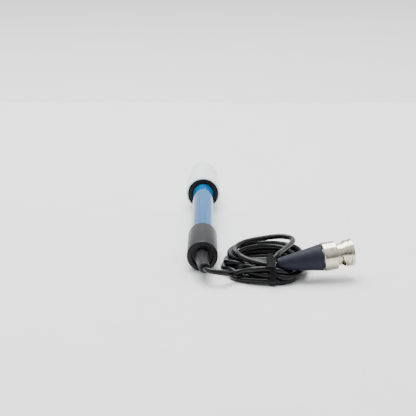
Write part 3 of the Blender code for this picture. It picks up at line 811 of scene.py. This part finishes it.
def tone_between(tree_nodes, links, value, dark, light):
    """A colour that drifts from dark to light with a noise."""
    ramp = tree_nodes.new("ShaderNodeValToRGB")
    ramp.color_ramp.elements[0].position = NOISE_LOW
    ramp.color_ramp.elements[1].position = NOISE_HIGH
    ramp.color_ramp.elements[0].color = (*dark, 1.0)
    ramp.color_ramp.elements[1].color = (*light, 1.0)
    links.new(value, ramp.inputs["Fac"])
    return ramp.outputs["Color"]


print("noise is stretched from", NOISE_LOW, "to", NOISE_HIGH)

# %% [markdown]
# The moulded finish takes two tones, two values of roughness, and the size and depth of its grain. The
# patches of gloss are a few grains wide.

# %% A helper for moulded finishes
MOULDED_TONE_SIZE = 6.0 * mm
GLOSS_PATCH_GRAINS = 4.0
GRAIN_DETAIL = 5.0
GRAIN_STRENGTH = 0.6


def bump_from(tree_nodes, links, shader, height, strength, depth):
    """Gives the shader a relief of depth metres from a height that runs from 0 to 1."""
    bump = tree_nodes.new("ShaderNodeBump")
    bump.inputs["Strength"].default_value = strength
    bump.inputs["Distance"].default_value = depth
    links.new(height, bump.inputs["Height"])
    links.new(bump.outputs["Normal"], shader.inputs["Normal"])


def grained(name, dark, light, gloss, grain, depth, tone_size=MOULDED_TONE_SIZE):
    """A moulded finish: tone from dark to light, roughness between the two of gloss, and a grain."""
    material, tree_nodes, links = base_finish(name)
    shader = tree_nodes["Principled BSDF"]
    place = tree_nodes.new("ShaderNodeTexCoord").outputs["Object"]
    tone = noise_at(tree_nodes, links, place, tone_size)
    links.new(tone_between(tree_nodes, links, tone, dark, light), shader.inputs["Base Color"])
    patches = noise_at(tree_nodes, links, place, GLOSS_PATCH_GRAINS * grain)
    links.new(spread_between(tree_nodes, links, patches, *gloss), shader.inputs["Roughness"])
    grain_noise = noise_at(tree_nodes, links, place, grain, GRAIN_DETAIL)
    bump_from(tree_nodes, links, shader, grain_noise, GRAIN_STRENGTH, depth)
    return material, shader


print("gloss patches are", GLOSS_PATCH_GRAINS, "grains wide")

# %% [markdown]
# Black is several materials here. The cap is a satin moulding with a visible grain. The jacket of the lead
# is smoother and shinier, so each strand gets a thin bright line along its top. The rubber is duller, and
# the boot is a dark navy with a dry surface.

# %% Black and navy pieces
SOFT_REFLECTION = 0.19
JACKET_REFLECTION = 0.24
# dark tone, light tone, roughness from and to, grain size and grain depth in mm, reflection
BLACK_FINISHES = {
    "black_cap": (
        (0.007, 0.007, 0.008), (0.012, 0.012, 0.013), (0.28, 0.42), 0.22, 0.012, SOFT_REFLECTION,
    ),
    "black_rubber": (
        (0.008, 0.008, 0.009), (0.014, 0.014, 0.015), (0.36, 0.52), 0.30, 0.010, SOFT_REFLECTION,
    ),
    "lead_jacket": (
        (0.0025, 0.0025, 0.003), (0.005, 0.005, 0.006), (0.16, 0.27), 0.35, 0.006, JACKET_REFLECTION,
    ),
    "tie_plastic": (
        (0.004, 0.004, 0.005), (0.008, 0.008, 0.009), (0.26, 0.40), 0.20, 0.010, SOFT_REFLECTION,
    ),
    "navy_boot": (
        (0.011, 0.012, 0.021), (0.016, 0.018, 0.030), (0.50, 0.64), 0.25, 0.014, SOFT_REFLECTION,
    ),
}

finishes = {}
for name, (dark, light, gloss, grain, depth, reflection) in BLACK_FINISHES.items():
    finishes[name], shader = grained(name, dark, light, gloss, grain * mm, depth * mm)
    shader.inputs["Specular IOR Level"].default_value = reflection
print("black and navy:", len(finishes), "finishes")

# %% [markdown]
# The tube is a clear blue plastic with a mirror gloss. It could be solid glass with real refraction, but
# that is slow and noisy, and the tube is a thin shell. So it mixes a blue see-through layer, which also
# tints its shadow on the paper, with a glossy blue body. Faint long streaks break up the reflection, as
# they do on an extruded tube.

# %% The blue tube
SEE_THROUGH = 0.16
CLEAR_TINT = (0.10, 0.62, 1.0, 1.0)
BLUE_DEEP = (0.001, 0.085, 0.245)
BLUE_LIGHT = (0.002, 0.160, 0.385)
BLUE_GLOSS = (0.03, 0.09)
BLUE_IOR = 1.37
STREAK_WIDTH = 1.4 * mm
STREAK_DETAIL = 2.0
STREAK_STRETCH = (1.0, 0.03, 1.0)

blue, blue_nodes, blue_links = base_finish("blue_tube")
blue_body = blue_nodes["Principled BSDF"]
blue_place = blue_nodes.new("ShaderNodeTexCoord").outputs["Object"]
along_tube = blue_nodes.new("ShaderNodeMapping")
along_tube.inputs["Scale"].default_value = STREAK_STRETCH
blue_links.new(blue_place, along_tube.inputs["Vector"])
streaks = noise_at(blue_nodes, blue_links, along_tube.outputs["Vector"], STREAK_WIDTH, STREAK_DETAIL)
blue_tone = tone_between(blue_nodes, blue_links, streaks, BLUE_DEEP, BLUE_LIGHT)
blue_links.new(blue_tone, blue_body.inputs["Base Color"])
blue_rough = spread_between(blue_nodes, blue_links, streaks, *BLUE_GLOSS)
blue_links.new(blue_rough, blue_body.inputs["Roughness"])
blue_body.inputs["IOR"].default_value = BLUE_IOR
blue_clear = blue_nodes.new("ShaderNodeBsdfTransparent")
blue_clear.inputs["Color"].default_value = CLEAR_TINT
blue_mix = blue_nodes.new("ShaderNodeMixShader")
blue_mix.inputs["Fac"].default_value = 1.0 - SEE_THROUGH
blue_links.new(blue_clear.outputs["BSDF"], blue_mix.inputs[1])
blue_links.new(blue_body.outputs["BSDF"], blue_mix.inputs[2])
blue_links.new(blue_mix.outputs["Shader"], blue_nodes["Material Output"].inputs["Surface"])
finishes["blue_tube"] = blue
print("blue tube lets", SEE_THROUGH, "of the light straight through")

# %% [markdown]
# The storage bottle and its cap are soft milky plastic. Light enters the wall, scatters and comes out near
# by, which is what makes it look milky and not painted, so the finish uses subsurface scattering with a
# reach of a millimetre or two. The glass of the stem and bulb lets nearly all light through.

# %% Milky plastic and glass
MILKY_SCATTER = 0.45
MILKY_REACH = 1.6 * mm
GLASS_CLEARNESS = 0.9
GLASS_IOR = 1.5

finishes["milky_bottle"], milky_shader = grained(
    "milky_bottle", (0.78, 0.82, 0.82), (0.84, 0.87, 0.87), (0.26, 0.38), 0.40 * mm, 0.012 * mm
)
milky_shader.inputs["Subsurface Weight"].default_value = MILKY_SCATTER
milky_shader.inputs["Subsurface Radius"].default_value = (1.0, 1.0, 1.0)
milky_shader.inputs["Subsurface Scale"].default_value = MILKY_REACH

finishes["clear_glass"], glass_shader = grained(
    "clear_glass", (0.84, 0.92, 0.92), (0.90, 0.96, 0.96), (0.02, 0.06), 0.80 * mm, 0.002 * mm
)
glass_shader.inputs["Transmission Weight"].default_value = GLASS_CLEARNESS
glass_shader.inputs["IOR"].default_value = GLASS_IOR
print("milky plastic scatters over", MILKY_REACH / mm, "mm")

# %% [markdown]
# Seals, the ceramic junction, the insulation and the gasket are small and mostly hidden, but each shows at
# some pose or through the tube. They differ in tone, dryness and grain, so a table is all they need.

# %% Seals, ceramic and insulation
# dark tone, light tone, roughness from and to, grain size and grain depth in mm
SMALL_FINISHES = {
    "dark_seal": ((0.060, 0.052, 0.045), (0.11, 0.10, 0.09), (0.38, 0.55), 0.25, 0.015),
    "white_ceramic": ((0.74, 0.72, 0.67), (0.88, 0.86, 0.82), (0.65, 0.85), 0.06, 0.010),
    "white_insulation": ((0.82, 0.82, 0.80), (0.90, 0.90, 0.88), (0.35, 0.50), 0.25, 0.008),
    "red_silicone": ((0.34, 0.035, 0.020), (0.46, 0.060, 0.040), (0.50, 0.65), 0.20, 0.010),
}

for name, (dark, light, gloss, grain, depth) in SMALL_FINISHES.items():
    finishes[name] = grained(name, dark, light, gloss, grain * mm, depth * mm)[0]
print("small pieces:", ", ".join(SMALL_FINISHES))

# %% [markdown]
# ## The metal
#
# The coupling is turned on a lathe and nickel plated. Turning leaves rings round the axis, much finer along
# the plug than across it. So the noise for the metal is stretched: the distance along the plug's own axis
# is taken with a dot product and scaled up, while the other directions barely change. The plating has a
# warm tone and a little haze in patches.

# %% Turned and plated metal
TURNING_RING = 0.12 * mm
ACROSS_RINGS = 6.0 * mm
HAZE_SIZE = 1.8 * mm
TURNING_DETAIL = 2.0
TURNING_STRENGTH = 0.5


def turned_metal(name, dark, light, gloss, depth):
    """A plated finish with fine rings of turning round the plug's axis, of depth metres."""
    material, tree_nodes, links = base_finish(name)
    shader = tree_nodes["Principled BSDF"]
    shader.inputs["Metallic"].default_value = 1.0
    place = tree_nodes.new("ShaderNodeTexCoord").outputs["Object"]
    station = tree_nodes.new("ShaderNodeVectorMath")
    station.operation = "DOT_PRODUCT"
    station.inputs[1].default_value = PLUG_AXIS
    links.new(place, station.inputs[0])
    parts = tree_nodes.new("ShaderNodeSeparateXYZ")
    links.new(place, parts.inputs[0])
    stretched = tree_nodes.new("ShaderNodeCombineXYZ")
    for value, socket, scale in (
        (station.outputs["Value"], "X", 1.0 / TURNING_RING),
        (parts.outputs["Y"], "Y", 1.0 / ACROSS_RINGS),
        (parts.outputs["Z"], "Z", 1.0 / ACROSS_RINGS),
    ):
        scaled = tree_nodes.new("ShaderNodeMath")
        scaled.operation = "MULTIPLY"
        scaled.inputs[1].default_value = scale
        links.new(value, scaled.inputs[0])
        links.new(scaled.outputs["Value"], stretched.inputs[socket])
    turning = noise_at(tree_nodes, links, stretched.outputs["Vector"], 1.0, TURNING_DETAIL)
    haze = noise_at(tree_nodes, links, place, HAZE_SIZE)
    links.new(tone_between(tree_nodes, links, haze, dark, light), shader.inputs["Base Color"])
    links.new(spread_between(tree_nodes, links, haze, *gloss), shader.inputs["Roughness"])
    bump_from(tree_nodes, links, shader, turning, TURNING_STRENGTH, depth)
    return material


# dark tone, light tone, roughness from and to, ring depth in mm
METAL_FINISHES = {
    "nickel": ((0.47, 0.425, 0.33), (0.74, 0.69, 0.57), (0.14, 0.26), 0.006),
    "gold_pin": ((0.80, 0.56, 0.22), (0.94, 0.70, 0.32), (0.14, 0.24), 0.004),
    "silver_wire": ((0.66, 0.66, 0.64), (0.82, 0.82, 0.80), (0.24, 0.36), 0.004),
}
for name, (dark, light, gloss, depth) in METAL_FINISHES.items():
    finishes[name] = turned_metal(name, dark, light, gloss, depth * mm)
print("finishes:", ", ".join(sorted(finishes)))

# %% [markdown]
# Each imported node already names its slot, so one loop hands every node its finish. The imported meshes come
# with split corners. Welding them and splitting again only at real edges lets round surfaces shade
# smoothly, and it moves nothing.

# %% Give every node its finish
SAME_POINT = 0.002 * mm
for name, node in nodes.items():
    slot_name = node.data.materials[0].name.split(".")[0]
    node.data.materials[0] = finishes[slot_name]
    node.data.polygons.foreach_set("use_smooth", [True] * len(node.data.polygons))
    for attribute in list(node.data.attributes):
        if attribute.name == "custom_normal":
            node.data.attributes.remove(attribute)
    weld = node.modifiers.new("weld", "WELD")
    weld.merge_threshold = SAME_POINT
    split = node.modifiers.new("split", "EDGE_SPLIT")
    split.split_angle = SMOOTH_ANGLE
print(len(nodes), "nodes have their finishes")

# %% [markdown]
# The new pieces take the same finishes as the nodes that they stand for. The paper and the table are not
# part of the object, so they get finishes of their own, with a broad and very faint drift in tone.

# %% Give the new pieces and the stage theirs
new_pieces = [
    (lead, "lead_jacket"), (relief, "black_rubber"), (thread, "milky_bottle"), (washer, "nickel"),
    *((piece, "tie_plastic") for piece in tie_pieces),
]
for piece, finish in new_pieces:
    piece.data.materials.append(finishes[finish])

paper.data.materials.append(grained(
    "white_paper", (0.86, 0.86, 0.865), (0.885, 0.885, 0.89), (0.80, 0.92),
    0.5 * mm, 0.006 * mm, tone_size=50.0 * mm,
)[0])
table.data.materials.append(grained(
    "pale_table", (0.78, 0.78, 0.79), (0.80, 0.80, 0.81), (0.70, 0.85),
    0.8 * mm, 0.010 * mm, tone_size=80.0 * mm,
)[0])
print(len(new_pieces), "new pieces have their finishes")
